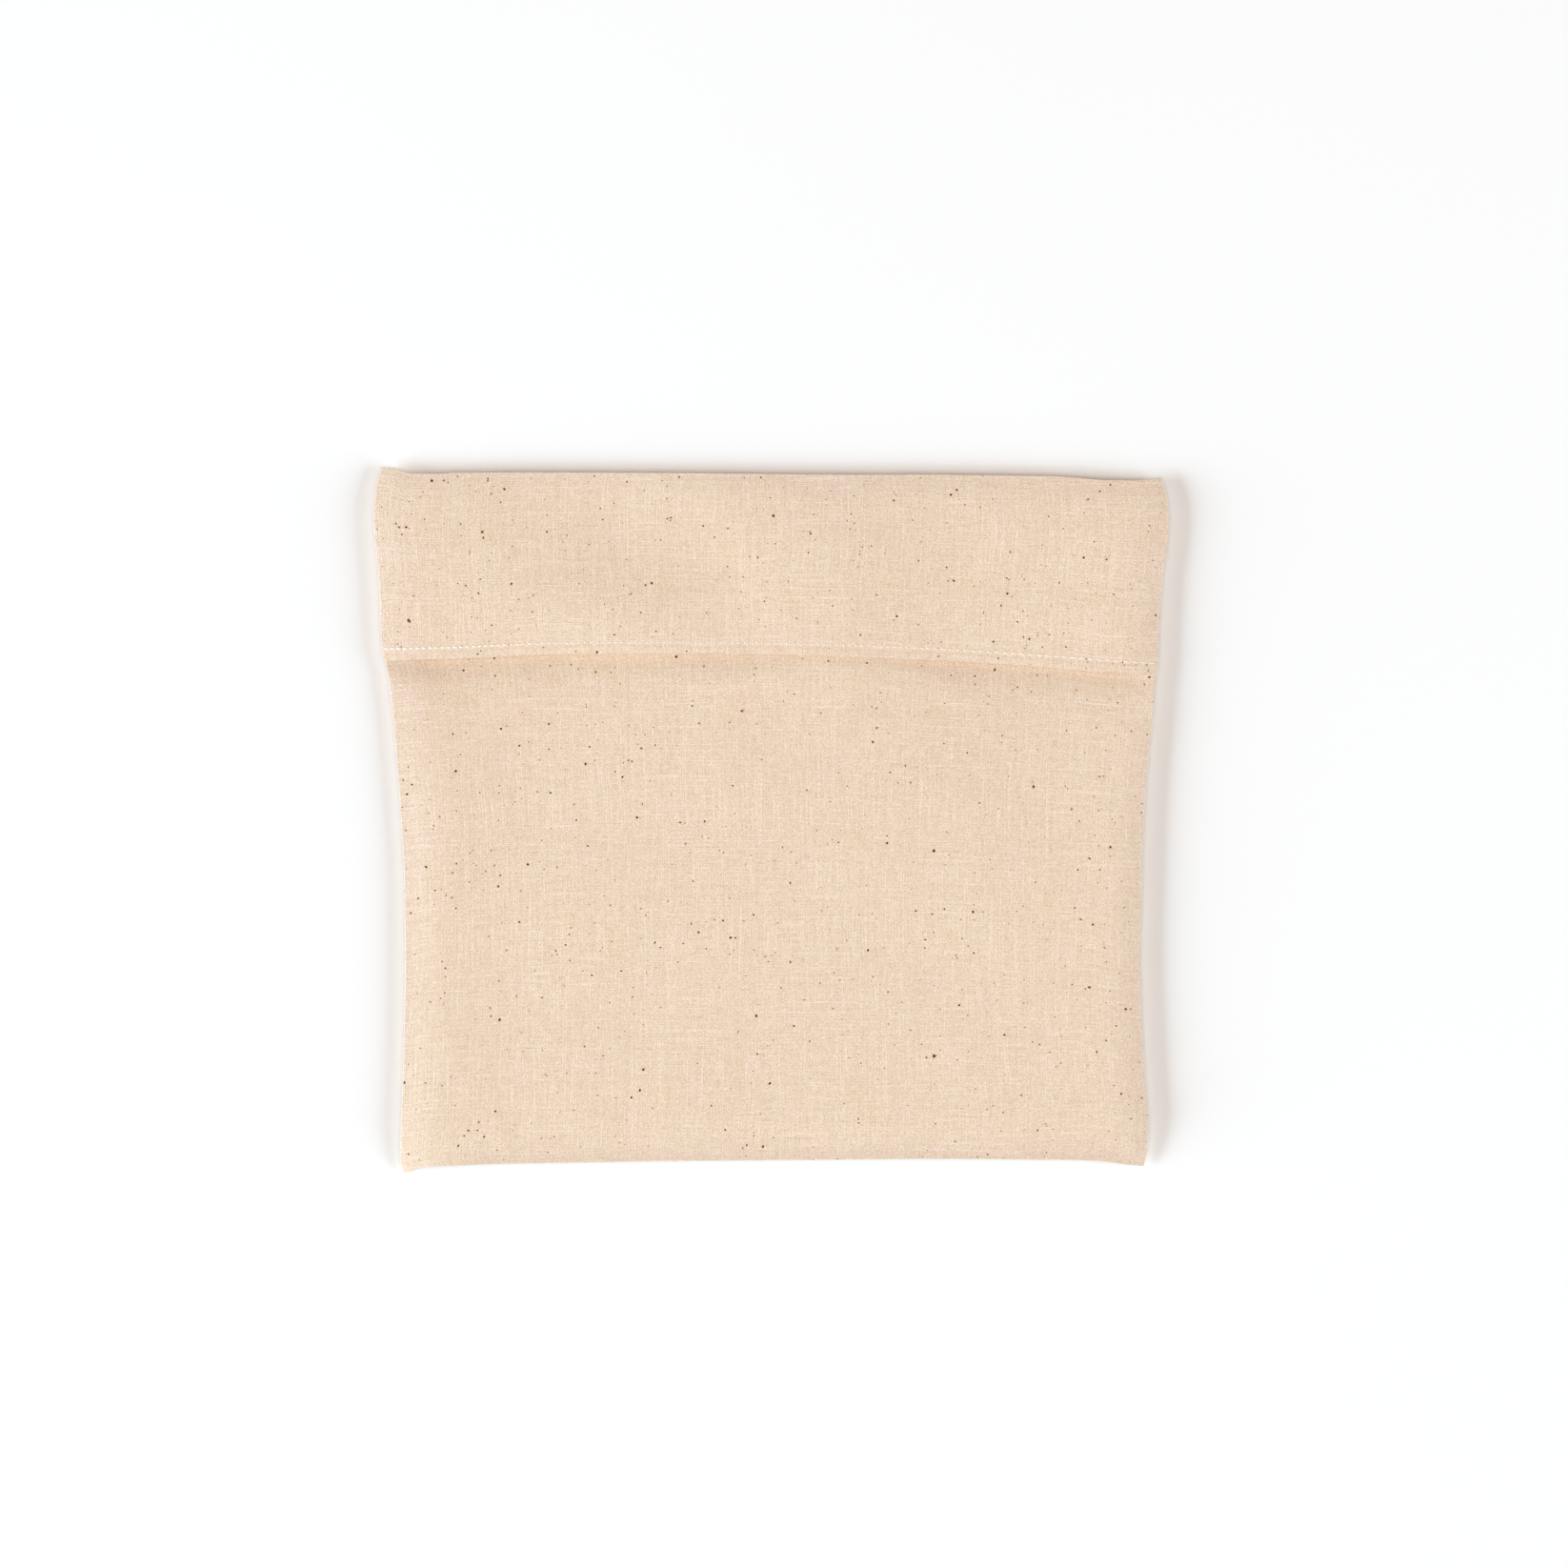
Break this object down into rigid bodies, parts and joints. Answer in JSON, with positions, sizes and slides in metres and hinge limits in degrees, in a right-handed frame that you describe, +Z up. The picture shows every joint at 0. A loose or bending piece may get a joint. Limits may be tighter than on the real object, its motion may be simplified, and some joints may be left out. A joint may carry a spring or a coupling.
{
  "type": "fabric sandwich bag",
  "caption": "Flat fabric pouch of unbleached cotton with a fold-over flap, hemmed and stitched, lying closed on its back.",
  "frame": {"origin": "centre of the bag's outline, on the surface that it lies on", "axes": "+X to the bag's right, +Y towards its top fold, +Z up, away from the surface that it lies on"},
  "size_m": [0.1988, 0.1764, 0.0053],
  "materials": {
    "unbleached_cotton": "undyed plain-weave cotton with small brown flecks"
  },
  "bodies": {
    "root": {"bag_cloth": "unbleached_cotton"}
  },
  "joints": []
}
